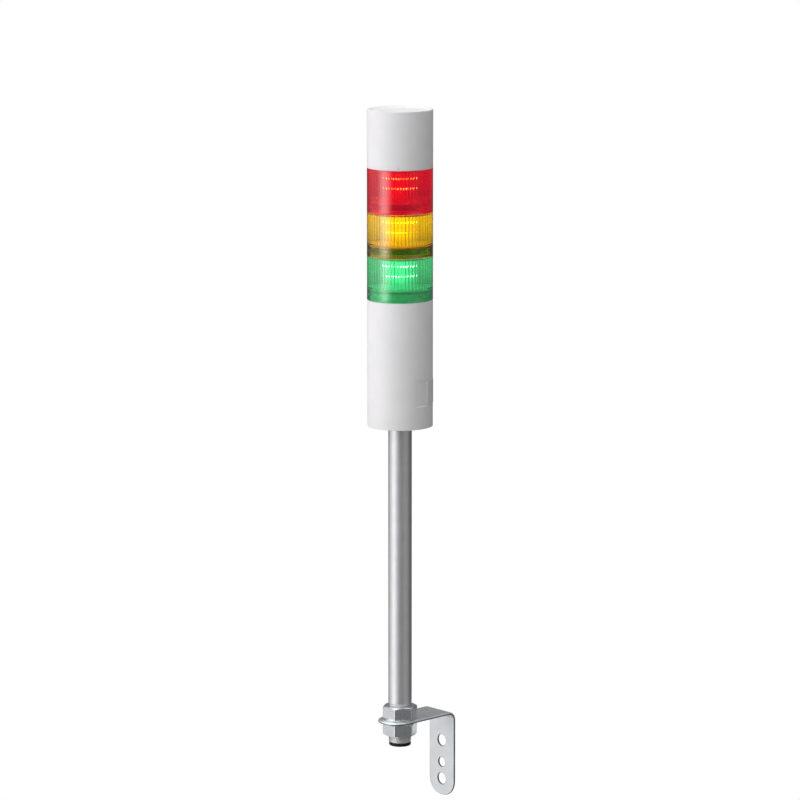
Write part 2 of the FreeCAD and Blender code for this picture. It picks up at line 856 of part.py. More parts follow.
fill_sheet()
bracket()
washer("upper_washer", "plate_top")
washer("lower_washer", "lower_nut_seat")
nut("upper_nut", "upper_nut_seat", chamfer_up=True)
nut("lower_nut", "lower_nut_seat - nut_height", chamfer_up=False)
pole()
end_bush()
case_shell()
blank_plate()
pole_flange()
flange_screws()
set_screw()
control_board()
terminal_block()
contact_board("case_contact_board", "case_foot + case_height")
seal_ring("case_seal_ring", "case_foot + case_height")
light_unit("green", "green_foot")
light_unit("amber", "amber_foot")
light_unit("red", "red_foot")
head_cap()
carrier("head_carrier", "cap_foot")
sounder_board()
sounder()
doc.recompute()
check_document()
export_parts()
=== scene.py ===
import math

import bmesh
import bpy
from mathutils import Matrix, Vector


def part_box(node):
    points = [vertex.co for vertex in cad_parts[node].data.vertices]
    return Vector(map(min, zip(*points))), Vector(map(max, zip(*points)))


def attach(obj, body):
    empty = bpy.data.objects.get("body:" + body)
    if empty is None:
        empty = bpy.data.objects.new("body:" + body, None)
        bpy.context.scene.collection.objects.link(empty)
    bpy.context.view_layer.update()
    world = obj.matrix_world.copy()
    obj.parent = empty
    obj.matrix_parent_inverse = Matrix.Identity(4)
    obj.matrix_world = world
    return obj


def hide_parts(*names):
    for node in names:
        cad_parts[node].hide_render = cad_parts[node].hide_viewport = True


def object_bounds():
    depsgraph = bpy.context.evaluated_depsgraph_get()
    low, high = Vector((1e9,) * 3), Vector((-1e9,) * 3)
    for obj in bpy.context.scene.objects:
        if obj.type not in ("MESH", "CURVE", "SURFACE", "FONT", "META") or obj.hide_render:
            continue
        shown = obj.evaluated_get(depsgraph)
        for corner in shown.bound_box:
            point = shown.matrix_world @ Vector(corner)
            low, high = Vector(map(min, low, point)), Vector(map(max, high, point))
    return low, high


# The looks of the stack light, built round its imported solids. Lengths are given in
# millimetres and turned into metres where a mesh or camera is made.
MM = 0.001

# Camera of the photograph: a long lens looking 10 degrees down at the mast. Its height is
# taken from the top of the bracket's plate.
PHOTO_SIZE = 800
FOCAL_PIXELS = 3820.0
SENSOR_WIDTH = 36.0
CAMERA_AZIMUTH = 47.0
CAMERA_TILT = 10.0
CAMERA_DISTANCE = 3435.75
CAMERA_ABOVE_PLATE = 905.27
CLIP_NEAR = 0.05
CLIP_FAR = 40.0

# Walls and clearances of the moulded units
SHELL_WALL = 2.5
SHOULDER = 1.6
SKIRT_WALL = 2.7
SEAT_GAP = 0.4
SEAT_HEIGHT = 3.4
NECK_STEP = 0.6
NECK_WALL = 2.0
NECK_HEIGHT = 8.25
LUG_WIDTH = 3.7
LUG_DEPTH = 1.8
LUG_HEIGHT = 2.0
LUG_RISE = 4.2
LUG_COUNT = 3
BAYONET_GAP = 0.3
SEAM_GAP = 0.25
TWIST_ANGLE = 20.0
SEAL_SECTION = 1.5
SEAL_LIFT = 0.9
SEAL_GAP = 0.3
SEAL_PLAY = 0.1
LEDGE_HEIGHT = 10.4
LEDGE_THICKNESS = 1.2
LEDGE_WIDTH = 1.0
FLUTE_COUNT = 50
FLUTE_DEPTH = 0.8
FLUTE_RADIUS = 2.0
FLUTE_MARGIN = 0.3
FLUTE_SAMPLES = 10
INDEX_ANGLE = -45.0
NOTCH_WIDTH = 1.5
NOTCH_HEIGHT = 3.0
NOTCH_DEPTH = 0.6
RIM_WIDTH = 2.6
DISH_SLOPE = 1.6
DISH_DEPTH = 1.1
FLOOR_THICKNESS = 4.0
FIELD_DEPTH = 0.4
FIELD_LOW = 21.0
FIELD_HEIGHT = 23.5
FIELD_START = -15.4
FIELD_SPAN = 72.4

# Pole, thread, nuts and bush
POLE_BORE = 17.3
POLE_FIT = 0.15
THREAD_RADIUS = 10.4
THREAD_PITCH = 1.5
THREAD_DEPTH = 0.75
THREAD_ABOVE = 15.5
THREAD_BELOW = 22.0
THREAD_FIT = 0.1
THREAD_SLOPE = 2.6
THREAD_CUTS = 10
THREAD_HIDDEN = 1.0
POLE_FOOT_CHAMFER = 0.8
POLE_TOP_CHAMFER = 0.5
NUT_FLATS = 28.4
NUT_FACE_INSET = 0.4
NUT_BLUNTNESS = 250
NUT_CHAMFER = 30.0
NUT_TURN = 299.2
NUT_CORNER_LOSS = 0.2
NUT_LEAD = 0.5
NUT_ANGLES = 144
NUT_CORNER_CUTS = 9
NUT_SHARP_ANGLE = 18.0
WASHER_BORE = 21.4
WASHER_ROUND = 0.3
CABLE_HOLE = 8.0
BUSH_FLANGE = 3.0
BUSH_FIT = 0.05
BUSH_ROUND = 1.1

# Folded bracket
SHEET = 2.3
BEND_RADIUS = 6.2
CORNER_RADIUS = 15.0
POLE_HOLE = 21.4
WALL_HOLES = ((18.5, 11.0), (-2.7, 9.0), (-18.5, 11.0))
SHEET_ROUND = 1.35
UNDERSIDE_SHARE = 1 / 3
EDGE_CUTS = 4
BEND_CUTS = 18
ARC_ANGLE = 5.0
ARC_CUTS = 6
CUT_REACH = 1e-5

# How meshes are cut up and softened
ROUND_ANGLES = 192
STEP = 0.12
STEP_ANGLE = 0.1
EDGE_ROUND = 0.25
MOULDING_ROUND = 0.4
SHARP_ANGLE = 32.0
SMALL_ROUND_ANGLES = 96
FLAT_TURN = 15.0
SIDE_SHARE = 0.45
LEAST_ROUND = 0.02
NEAR = 1e-6

# Soft panels of the studio: centre in degrees to the camera's right, reach, and brightness
# near the floor, below eye level and above it
PANELS = (
    (-82, 70, 0.75, 0.5, 1.4),
    (-57, 32, 1.1, 2.0, 0.0),
    (-20, 40, 0.0, 0.0, 1.2),
    (60, 50, 0.5, 0.06, 0.38),
)
ROOM_LEVEL = 0.07
SKY_LEVEL = 0.17
OVERHEAD_LEVEL = 1.6
STUDIO_COLOUR = (1.0, 0.985, 1.0, 1)

# Where each light fades in, by the upward part of its direction: -1 is straight down, 1 is
# straight up
FLOOR_FADE = (-0.2, -0.155)
UPPER_FADE = (-0.05, 0.35)
SKY_FADE = (-0.1, 0.5)
OVERHEAD_FADE = (0.75, 0.98)

# White floor and surround, in metres
BACKDROP_FLOOR_RADIUS = 9.0
BACKDROP_RADIUS = 8.0
BACKDROP_DROP = 0.3

# Painted glow that stands in for the chips' light, which the lenses carry and the drums give
# back;
# the chips themselves are lamps. The ribs between the flutes and the flutes' feet get painted
# shade in that glow, and the deep parts of a lens's colour are darker.
FLUTE_PAINTED_GLOW = {"red": 0.17, "amber": 0.42, "green": 0.25}
RIB_PAINTED_SHADE = 0.2
RIB_EDGE = (-1, 0.2)
FLUTE_FOOT_PAINTED_GLOW_SHARE = 0.6
DEEP_SHARE = 0.92
SKIRT_PAINTED_GLOW = {"red": 0.12, "amber": 0.0, "green": 0.035}
DRUM_PAINTED_GLOW = {"red": 0.28, "amber": 0.55, "green": 0.55}
CHIP_GLOW = {"red": 350.0, "amber": 10.0, "green": 36.0}

LENS_COLOURS = {
    "red": (0.95, 0.004, 0.014),
    "amber": (0.95, 0.58, 0.004),
    "green": (0.09, 0.85, 0.4),
}
PAINTED_GLOW_COLOURS = {
    "red": (1.0, 0.0, 0.1),
    "amber": (1.0, 0.9, 0.05),
    "green": (0.52, 1.0, 0.64),
}
CHIP_COLOURS = {
    "red": (0.02, 1.0, 0.05),
    "amber": (1.0, 1.0, 1.0),
    "green": (1.0, 0.4, 0.3),
}

# Rows of chips below the top of a tier, how far their dies reach and how far the painted glow
# round them on the drum spreads, and how unevenly they shine: changes per metre, the part of the
# noise in use and the brightness that it gives
CHIP_DROP = 9.0
CHIP_PITCH = 9.0
CHIP_DIE_REACH = 1.3
DIE_EDGE = (0.4, 0.85)
CHIP_SPREAD = 110.0
CHIP_NOISE = (0.38, 0.62)
CHIP_RANGE = (0.2, 1.25)
DRUM_SIDES = 12
DRUM_PAINTED_GLOW_REACH = 9.0
DRUM_PAINTED_GLOW_BASE_SHARE = 0.4

# The part of a noise that tints and roughness follow
NOISE_MIDDLE = (0.3, 0.7)

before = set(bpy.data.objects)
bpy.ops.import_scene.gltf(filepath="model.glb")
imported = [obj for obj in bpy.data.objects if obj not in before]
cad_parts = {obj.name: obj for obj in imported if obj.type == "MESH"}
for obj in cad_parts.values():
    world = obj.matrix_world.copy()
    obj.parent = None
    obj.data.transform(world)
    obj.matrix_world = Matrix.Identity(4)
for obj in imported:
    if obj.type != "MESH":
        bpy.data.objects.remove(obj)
cad_low, cad_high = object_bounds()
scene = bpy.context.scene


def extent(node):
    """Lowest and highest corner of a solid, in millimetres."""
    low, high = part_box(node)
    return low / MM, high / MM


pole_low, pole_high = extent("pole")
AXIS_X = (pole_low.x + pole_high.x) / 2
AXIS_Y = (pole_low.y + pole_high.y) / 2
PLATE_TOP = extent("l_bracket")[1].z
HEAD_RADIUS = (extent("case_shell")[1].x - extent("case_shell")[0].x) / 2
SHELL_RADIUS = HEAD_RADIUS - SHELL_WALL
SKIRT_RADIUS = HEAD_RADIUS - SKIRT_WALL
SEAT_RADIUS = SKIRT_RADIUS - SEAT_GAP
NECK_RADIUS = SEAT_RADIUS - NECK_STEP
NECK_BORE = NECK_RADIUS - NECK_WALL
LUG_TIP = SKIRT_RADIUS - LUG_DEPTH
TRACK_FLOOR = LUG_TIP - BAYONET_GAP
TRACK_LOW = SEAM_GAP + LUG_RISE - BAYONET_GAP
TRACK_HIGH = TRACK_LOW + LUG_HEIGHT + 2 * BAYONET_GAP
TRACK_HALF = math.degrees(math.asin((LUG_WIDTH / 2 + BAYONET_GAP) / LUG_TIP))
LUG_HALF = math.degrees(math.asin(LUG_WIDTH / 2 / LUG_TIP))
NOTCH_HALF = math.degrees(NOTCH_WIDTH / 2 / HEAD_RADIUS)
SEAL_FLOOR = SKIRT_RADIUS - SEAL_GAP - SEAL_SECTION
FLUTE_CREST = SHELL_RADIUS - FLUTE_DEPTH
LEDGE_RADIUS = FLUTE_CREST - LEDGE_WIDTH
LEDGE_TOP = LEDGE_HEIGHT + LEDGE_THICKNESS


# Round solids

def rounded(points, radius=EDGE_ROUND, steps=3):
    """A closed section whose corners are rounded, each by a short curve."""
    result = []
    count = len(points)
    for i in range(count):
        corner = Vector(points[i])
        before = Vector(points[i - 1]) - corner
        after = Vector(points[(i + 1) % count]) - corner
        turn = before.angle(-after) if before.length and after.length else 0
        reach = min(radius, before.length * SIDE_SHARE, after.length * SIDE_SHARE)
        if corner.x < STEP or math.degrees(turn) < FLAT_TURN or reach < LEAST_ROUND:
            result.append(tuple(corner))
            continue
        start = corner + before.normalized() * reach
        end = corner + after.normalized() * reach
        for k in range(steps + 1):
            u = k / steps
            spot = start * (1 - u) ** 2 + corner * 2 * u * (1 - u) + end * u ** 2
            result.append(tuple(spot))
    return result


def split_upright(points, levels):
    """The section with extra points where an upright side crosses one of the levels."""
    result = []
    count = len(points)
    for i in range(count):
        r0, z0 = points[i]
        r1, z1 = points[(i + 1) % count]
        result.append((r0, z0))
        if abs(r1 - r0) > NEAR:
            continue
        crossed = [z for z in levels if min(z0, z1) + NEAR < z < max(z0, z1) - NEAR]
        for z in sorted(crossed, reverse=z1 < z0):
            result.append((r0, z))
    return result


def turn_angles(count, breaks=()):
    """Even angles in degrees, with a close pair of them at each break."""
    angles = [i * 360 / count for i in range(count)]
    for edge in breaks:
        angles += [(edge - STEP_ANGLE / 2) % 360, (edge + STEP_ANGLE / 2) % 360]
    angles.sort()
    kept = [angles[0]]
    for angle in angles[1:]:
        if angle - kept[-1] > STEP_ANGLE / 4:
            kept.append(angle)
    return kept


def turned_solid(name, section, foot, angles, shape=None, sharp=SHARP_ANGLE, lit=None):
    """A closed solid from a section turned round the mast's axis, standing at height foot.
    shape may move a point of the section at each angle, so that a round solid gets flutes,
    tracks, notches, thread or flats. lit picks the stretches with the second material."""
    mesh = bmesh.new()
    rings = []
    for r, z in section:
        if r < NEAR:
            rings.append([mesh.verts.new((AXIS_X * MM, AXIS_Y * MM, (foot + z) * MM))])
            continue
        ring = []
        for angle in angles:
            far, high = shape(r, z, angle) if shape else (r, z)
            a = math.radians(angle)
            spot = (AXIS_X + far * math.cos(a), AXIS_Y + far * math.sin(a), foot + high)
            ring.append(mesh.verts.new(Vector(spot) * MM))
        rings.append(ring)
    count = len(angles)
    for i, ring in enumerate(rings):
        other = rings[(i + 1) % len(rings)]
        if len(ring) == 1 and len(other) == 1:
            continue
        slot = 1 if lit and lit(*section[i], *section[(i + 1) % len(section)]) else 0
        for j in range(count):
            k = (j + 1) % count
            corners = [ring[j % len(ring)], ring[k % len(ring)],
                       other[k % len(other)], other[j % len(other)]]
            mesh.faces.new(list(dict.fromkeys(corners))).material_index = slot
    bmesh.ops.recalc_face_normals(mesh, faces=mesh.faces)
    return finished(name, mesh, sharp)


def finished(name, mesh, sharp=SHARP_ANGLE):
    """The object of a finished mesh, smooth but for edges sharper than sharp degrees."""
    data = bpy.data.meshes.new(name)
    mesh.to_mesh(data)
    mesh.free()
    data.polygons.foreach_set("use_smooth", [True] * len(data.polygons))
    data.set_sharp_from_angle(angle=math.radians(sharp))
    piece = bpy.data.objects.new(name, data)
    scene.collection.objects.link(piece)
    return piece


def near_angle(angle, centre, half):
    return abs((angle - centre + 180) % 360 - 180) <= half


# Shared forms of the moulded units

def neck_section(foot):
    seal_top = foot + SEAL_LIFT + SEAL_SECTION + 2 * SEAL_PLAY
    return [
        (SEAT_RADIUS, foot),
        (SEAT_RADIUS, foot + SEAL_LIFT),
        (SEAL_FLOOR, foot + SEAL_LIFT),
        (SEAL_FLOOR, seal_top),
        (SEAT_RADIUS, seal_top),
        (SEAT_RADIUS, foot + SEAT_HEIGHT),
        (NECK_RADIUS, foot + SEAT_HEIGHT + NECK_STEP),
        (NECK_RADIUS, foot + NECK_HEIGHT - NECK_STEP),
        (NECK_RADIUS - NECK_STEP, foot + NECK_HEIGHT),
        (NECK_BORE, foot + NECK_HEIGHT),
    ]


def copies(angle):
    return [angle + i * 360 / LUG_COUNT for i in range(LUG_COUNT)]


def track_breaks():
    edges = []
    for start in copies(0):
        edges += [start - TRACK_HALF, start + TWIST_ANGLE - TRACK_HALF,
                  start + TWIST_ANGLE + TRACK_HALF]
    return edges


def lug_breaks():
    return [start + side * LUG_HALF for start in copies(0) for side in (-1, 1)]


def notch_breaks():
    return [INDEX_ANGLE - NOTCH_HALF, INDEX_ANGLE + NOTCH_HALF]


def track_levels(foot):
    low = foot + TRACK_LOW
    high = foot + TRACK_HIGH
    return [low - STEP, low, high, high + STEP]


def lug_levels():
    top = LUG_RISE + LUG_HEIGHT
    return [LUG_RISE - STEP, LUG_RISE, top, top + STEP]


def in_track(r, z, angle, foot):
    """Whether a point of the neck's outer side lies in one of the bayonet tracks."""
    if r < NECK_RADIUS - NECK_STEP - NEAR or r > SEAT_RADIUS + NEAR:
        return False
    if z < foot + TRACK_LOW - NEAR:
        return False
    below_top = z < foot + TRACK_HIGH + NEAR
    for start in copies(0):
        if near_angle(angle, start + TWIST_ANGLE, TRACK_HALF):
            return True
        if below_top and near_angle(angle, start + TWIST_ANGLE / 2,
                                    TWIST_ANGLE / 2 + TRACK_HALF):
            return True
    return False


def on_lug(r, z, angle):
    if abs(r - SKIRT_RADIUS) > NEAR or not LUG_RISE - NEAR < z < LUG_RISE + LUG_HEIGHT + NEAR:
        return False
    return any(near_angle(angle, start, LUG_HALF) for start in copies(0))


def in_notch(r, z, angle):
    return (r > HEAD_RADIUS - EDGE_ROUND - NEAR and z < NOTCH_HEIGHT + NEAR
            and near_angle(angle, INDEX_ANGLE, NOTCH_HALF))


def skirt_shape(r, z, angle):
    """Lugs inside the skirt and the index notch outside it."""
    if on_lug(r, z, angle):
        return LUG_TIP, z
    if in_notch(r, z, angle):
        return HEAD_RADIUS - NOTCH_DEPTH, z
    return r, z


def flute(angle):
    """Depth of the flutes at an angle: shallow round channels side by side."""
    pitch = 360 / FLUTE_COUNT
    across = math.radians((angle + pitch / 2) % pitch - pitch / 2) * FLUTE_CREST
    if abs(across) >= FLUTE_RADIUS:
        return 0.0
    rise = FLUTE_RADIUS - FLUTE_DEPTH
    return max(0.0, math.sqrt(FLUTE_RADIUS ** 2 - across ** 2) - rise)


# Units

def lens(colour):
    node = colour + "_lens"
    foot = extent(node)[0].z
    tier = extent(node)[1].z - foot - NECK_HEIGHT
    inside = tier - SHOULDER
    flute_low = LEDGE_TOP + FLUTE_MARGIN
    flute_high = inside - FLUTE_MARGIN
    outline = [(SKIRT_RADIUS, 0), (HEAD_RADIUS, 0), (HEAD_RADIUS, tier)]
    outline += neck_section(tier)
    outline += [
        (NECK_BORE, inside),
        (FLUTE_CREST, inside),
        (FLUTE_CREST, LEDGE_TOP),
        (LEDGE_RADIUS, LEDGE_TOP),
        (LEDGE_RADIUS, LEDGE_HEIGHT),
        (SKIRT_RADIUS, LEDGE_HEIGHT),
    ]
    levels = track_levels(tier) + lug_levels() + [NOTCH_HEIGHT, NOTCH_HEIGHT + STEP]
    levels += [flute_low, flute_low + STEP, flute_high - STEP, flute_high]
    section = split_upright(rounded(outline), levels)

    def shape(r, z, angle):
        if in_track(r, z, angle, tier):
            return TRACK_FLOOR, z
        if abs(r - FLUTE_CREST) < NEAR and flute_low + STEP / 2 < z < flute_high - STEP / 2:
            return r + flute(angle), z
        return skirt_shape(r, z, angle)

    def fluted(r0, z0, r1, z1):
        return abs(r0 - FLUTE_CREST) < EDGE_ROUND and abs(r1 - FLUTE_CREST) < EDGE_ROUND

    breaks = track_breaks() + lug_breaks() + notch_breaks()
    angles = turn_angles(FLUTE_COUNT * FLUTE_SAMPLES, breaks)
    piece = turned_solid(colour + "_fluted_lens", section, foot, angles, shape, lit=fluted)
    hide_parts(node)
    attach(piece, colour + "_unit")
    return piece


def cap():
    low, high = extent("head_cap")
    tall = high.z - low.z
    dish_floor = tall - DISH_DEPTH
    dish_edge = HEAD_RADIUS - RIM_WIDTH
    inside = dish_floor - SHELL_WALL
    outline = [
        (SKIRT_RADIUS, 0),
        (HEAD_RADIUS, 0),
        (HEAD_RADIUS, tall),
        (dish_edge, tall),
        (dish_edge - DISH_SLOPE, dish_floor),
        (0, dish_floor),
        (0, inside),
        (SHELL_RADIUS, inside),
        (SHELL_RADIUS, LEDGE_TOP),
        (LEDGE_RADIUS, LEDGE_TOP),
        (LEDGE_RADIUS, LEDGE_HEIGHT),
        (SKIRT_RADIUS, LEDGE_HEIGHT),
    ]
    section = split_upright(rounded(outline, radius=MOULDING_ROUND, steps=4),
                            lug_levels() + [NOTCH_HEIGHT, NOTCH_HEIGHT + STEP])
    angles = turn_angles(ROUND_ANGLES, lug_breaks() + notch_breaks())
    piece = turned_solid("cap", section, low.z, angles, skirt_shape)
    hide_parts("head_cap")
    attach(piece, "head_unit")
    return piece


def case():
    low, high = extent("case_shell")
    tall = high.z - low.z - NECK_HEIGHT
    inside = tall - SHOULDER
    pole_hole = (pole_high.x - pole_low.x) / 2 + POLE_FIT
    outline = [(pole_hole, 0), (HEAD_RADIUS, 0), (HEAD_RADIUS, tall)]
    outline += neck_section(tall)
    outline += [
        (NECK_BORE, inside),
        (SHELL_RADIUS, inside - (SHELL_RADIUS - NECK_BORE)),
        (SHELL_RADIUS, FLOOR_THICKNESS),
        (pole_hole, FLOOR_THICKNESS),
    ]
    field_high = FIELD_LOW + FIELD_HEIGHT
    levels = track_levels(tall)
    levels += [FIELD_LOW - STEP, FIELD_LOW, field_high, field_high + STEP]
    section = split_upright(rounded(outline, radius=MOULDING_ROUND, steps=4), levels)

    def shape(r, z, angle):
        if in_track(r, z, angle, tall):
            return TRACK_FLOOR, z
        if (abs(r - HEAD_RADIUS) < NEAR and FIELD_LOW - NEAR < z < field_high + NEAR
                and near_angle(angle, FIELD_START + FIELD_SPAN / 2, FIELD_SPAN / 2)):
            return r - FIELD_DEPTH, z
        return r, z

    breaks = track_breaks() + [FIELD_START, FIELD_START + FIELD_SPAN]
    piece = turned_solid("case", section, low.z, turn_angles(ROUND_ANGLES, breaks), shape)
    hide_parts("case_shell")
    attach(piece, "mast")
    return piece


# Pole and clamp

def pole():
    """Tube with a true helical thread where it can be seen, above and below the nuts."""
    tube_radius = (pole_high.x - pole_low.x) / 2
    bore = POLE_BORE / 2
    top = pole_high.z - pole_low.z
    thread_top = THREAD_BELOW + THREAD_ABOVE
    rise = tube_radius - THREAD_RADIUS
    nut_foot = extent("lower_nut")[0].z - pole_low.z + THREAD_HIDDEN
    nut_top = extent("upper_nut")[1].z - pole_low.z - THREAD_HIDDEN
    levels = []
    for low, high in ((POLE_FOOT_CHAMFER, nut_foot), (nut_top, thread_top)):
        count = int((high - low) / (THREAD_PITCH / THREAD_CUTS))
        levels += [low + (high - low) * i / count for i in range(count + 1)]
    section = [(bore, 0), (THREAD_RADIUS - POLE_FOOT_CHAMFER, 0)]
    section += [(THREAD_RADIUS, z) for z in levels]
    section += [(tube_radius, thread_top + rise), (tube_radius, top - POLE_TOP_CHAMFER),
                (tube_radius - POLE_TOP_CHAMFER, top), (bore, top)]

    def shape(r, z, angle):
        if abs(r - THREAD_RADIUS) > NEAR:
            return r, z
        phase = (z / THREAD_PITCH - angle / 360) % 1
        fade = min(1, z / THREAD_PITCH, (thread_top - z) / THREAD_PITCH)
        groove = max(0, 1 - abs(phase - 0.5) * THREAD_SLOPE)
        return r - THREAD_DEPTH * fade * groove, z

    piece = turned_solid("threaded_pole", section, pole_low.z, turn_angles(SMALL_ROUND_ANGLES),
                         shape)
    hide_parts("pole")
    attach(piece, "mast")
    return piece


def nut(node, chamfer_up):
    """Hexagon nut with softened corners, turned off on the side away from the bracket."""
    low, high = extent(node)
    tall = high.z - low.z
    flats = NUT_FLATS / 2
    corner = flats / math.cos(math.radians(30))
    bore = THREAD_RADIUS + THREAD_FIT
    inner = flats - NUT_FACE_INSET
    slope = math.tan(math.radians(NUT_CHAMFER))
    blunt = corner - NUT_CORNER_LOSS

    def hexagon(angle):
        off = (angle - NUT_TURN) % 60 - 30
        flat = flats / math.cos(math.radians(off))
        return (flat ** -NUT_BLUNTNESS + blunt ** -NUT_BLUNTNESS) ** (-1 / NUT_BLUNTNESS)

    def shape(r, z, angle):
        if r < inner + NEAR:
            return r, z
        far = hexagon(angle) - (corner - r)
        drop = max(0.0, (far - inner) * slope)
        if chamfer_up and z > tall / 2:
            return far, z - drop
        if not chamfer_up and z < tall / 2:
            return far, z + drop
        return far, z

    edge = EDGE_ROUND
    outline = [(bore, NUT_LEAD), (bore + NUT_LEAD, 0)]
    if chamfer_up:
        outline += [(inner, 0), (corner - edge, 0), (corner, edge), (corner, tall),
                    (inner, tall)]
    else:
        outline += [(inner, 0), (corner, 0), (corner, tall - edge), (corner - edge, tall),
                    (inner, tall)]
    outline += [(bore + NUT_LEAD, tall), (bore, tall - NUT_LEAD)]
    fine = [NUT_TURN + side * 60 + off / 2 for side in range(6)
            for off in range(-NUT_CORNER_CUTS, NUT_CORNER_CUTS + 1)]
    piece = turned_solid(node + "_hex", outline, low.z, turn_angles(NUT_ANGLES, fine), shape,
                         NUT_SHARP_ANGLE)
    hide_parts(node)
    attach(piece, "mast")
    return piece


def washer(node):
    low, high = extent(node)
    bore = WASHER_BORE / 2
    rim = (high.x - low.x) / 2
    thick = high.z - low.z
    outline = [(bore, 0), (rim, 0), (rim, thick), (bore, thick)]
    piece = turned_solid(node + "_ring", rounded(outline, radius=WASHER_ROUND), low.z,
                         turn_angles(ROUND_ANGLES))
    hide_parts(node)
    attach(piece, "mast")
    return piece


def bush():
    low, high = extent("end_bush")
    tall = high.z - low.z
    flange = (high.x - low.x) / 2
    spigot = POLE_BORE / 2 - BUSH_FIT
    hole = CABLE_HOLE / 2
    outline = [(hole, 0), (flange, 0), (flange, BUSH_FLANGE), (spigot, BUSH_FLANGE),
               (spigot, tall), (hole, tall)]
    section = rounded(outline, radius=BUSH_ROUND, steps=5)
    piece = turned_solid("rubber_bush", section, low.z,
                         turn_angles(SMALL_ROUND_ANGLES))
    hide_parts("end_bush")
    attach(piece, "mast")
    return piece


def bracket():
    """The sheet, cut out flat with its edges rounded over, and then folded.
    Flat coordinates: across the sheet, along it from the nose, and up from its middle.
    The rim's straight side and underside and the holes' walls get the second material: the
    shear's rough grain, darkened with painted shade."""
    low, high = extent("l_bracket")
    half = (high.x - low.x) / 2
    fold_y = high.y - SHEET - BEND_RADIUS
    fold_z = high.z - SHEET - BEND_RADIUS
    middle = BEND_RADIUS + SHEET / 2
    plate_end = fold_y - low.y
    leg_start = plate_end + middle * math.pi / 2
    length = leg_start + fold_z - low.z

    def arc(x, s, radius, start, turn):
        steps = max(ARC_CUTS, round(abs(turn) / ARC_ANGLE))
        spots = []
        for i in range(steps + 1):
            a = math.radians(start + turn * i / steps)
            facing = Vector((math.cos(a), math.sin(a), 0))
            spots.append((Vector((x, s, 0)) + facing * radius, facing))
        return spots

    def hole(s, diameter):
        spots = arc(0, s, diameter / 2, 0, 360)[:-1]
        return [(spot, -facing) for spot, facing in spots]

    inset = half - CORNER_RADIUS
    rim = arc(inset, CORNER_RADIUS, CORNER_RADIUS, -90, 90)
    rim += arc(inset, length - CORNER_RADIUS, CORNER_RADIUS, 0, 90)
    rim += arc(-inset, length - CORNER_RADIUS, CORNER_RADIUS, 90, 90)
    rim += arc(-inset, CORNER_RADIUS, CORNER_RADIUS, 180, 90)
    loops = [rim, hole(AXIS_Y - low.y, POLE_HOLE)]
    loops += [hole(leg_start + fold_z - z, diameter) for z, diameter in WALL_HOLES]

    mesh = bmesh.new()
    facings = mesh.verts.layers.float_vector.new("facing")
    ends = {1: [], -1: []}
    for loop in loops:
        rings = []
        for side, soft in ((1, SHEET_ROUND), (-1, SHEET_ROUND * UNDERSIDE_SHARE)):
            for i in range(EDGE_CUTS + 1):
                a = math.radians(90 * (i if side > 0 else EDGE_CUTS - i) / EDGE_CUTS)
                inward = soft * (1 - math.sin(a))
                up = side * (SHEET / 2 - soft * (1 - math.cos(a)))
                ring = []
                for spot, facing in loop:
                    vert = mesh.verts.new(spot - facing * inward + Vector((0, 0, up)))
                    vert[facings] = facing * math.sin(a) + Vector((0, 0, side * math.cos(a)))
                    ring.append(vert)
                rings.append(ring)
        count = len(loop)
        # painted shade: these walls take the darkened sheared-edge metal
        painted_shade_from = EDGE_CUTS if loop is rim else 0
        for i, (ring, other) in enumerate(zip(rings, rings[1:])):
            for j in range(count):
                k = (j + 1) % count
                wall = mesh.faces.new((ring[j], other[j], other[k], ring[k]))
                wall.material_index = 1 if i >= painted_shade_from else 0
        for side, ring in ((1, rings[0]), (-1, rings[-1])):
            ends[side] += [mesh.edges.get((ring[j], ring[(j + 1) % count]))
                           for j in range(count)]
    for side in (1, -1):
        bmesh.ops.triangle_fill(mesh, edges=ends[side], use_beauty=True,
                                normal=(0, 0, side))
    for i in range(BEND_CUTS + 1):
        cut = plate_end + (leg_start - plate_end) * i / BEND_CUTS
        everything = list(mesh.verts) + list(mesh.edges) + list(mesh.faces)
        bmesh.ops.bisect_plane(mesh, geom=everything, plane_co=(0, cut, 0),
                               plane_no=(0, 1, 0), dist=CUT_REACH)
    normals = []
    for vert in mesh.verts:
        across, along, up = vert.co
        facing = vert[facings].normalized()
        bend = min(max((along - plate_end) / middle, 0), math.pi / 2)
        onward = Vector((0, math.cos(bend), -math.sin(bend)))
        outward = Vector((0, math.sin(bend), math.cos(bend)))
        spot = Vector((AXIS_X + across, fold_y, fold_z)) + outward * (middle + up)
        spot += onward * (min(along - plate_end, 0) + max(along - leg_start, 0))
        vert.co = spot * MM
        normals.append(Vector((facing.x, 0, 0)) + onward * facing.y + outward * facing.z)
    bmesh.ops.recalc_face_normals(mesh, faces=mesh.faces)
    piece = finished("folded_bracket", mesh, sharp=180)
    piece.data.normals_split_custom_set_from_vertices(normals)
    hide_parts("l_bracket")
    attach(piece, "bracket")
    return piece


# Materials

def new_material(name, **values):
    """A material with one principled shader, its plain values set on its own sockets."""
    material = bpy.data.materials.new(name)
    material.use_nodes = True
    shader = material.node_tree.nodes["Principled BSDF"]
    for socket, value in values.items():
        shader.inputs[socket.replace("_", " ")].default_value = value
    return material, material.node_tree, shader


def calculate(tree, operation, *values):
    """One step of arithmetic on numbers or sockets."""
    node = tree.nodes.new("ShaderNodeMath")
    node.operation = operation
    for socket, value in zip(node.inputs, values):
        if isinstance(value, bpy.types.NodeSocket):
            tree.links.new(value, socket)
        else:
            socket.default_value = value
    return node.outputs[0]


def remap(tree, value, start, end, low, high):
    """The value's run from start to end turned smoothly into low to high."""
    node = tree.nodes.new("ShaderNodeMapRange")
    node.interpolation_type = "SMOOTHSTEP"
    for socket, number in zip(("From Min", "From Max", "To Min", "To Max"),
                              (start, end, low, high)):
        node.inputs[socket].default_value = number
    tree.links.new(value, node.inputs["Value"])
    return node.outputs["Result"]


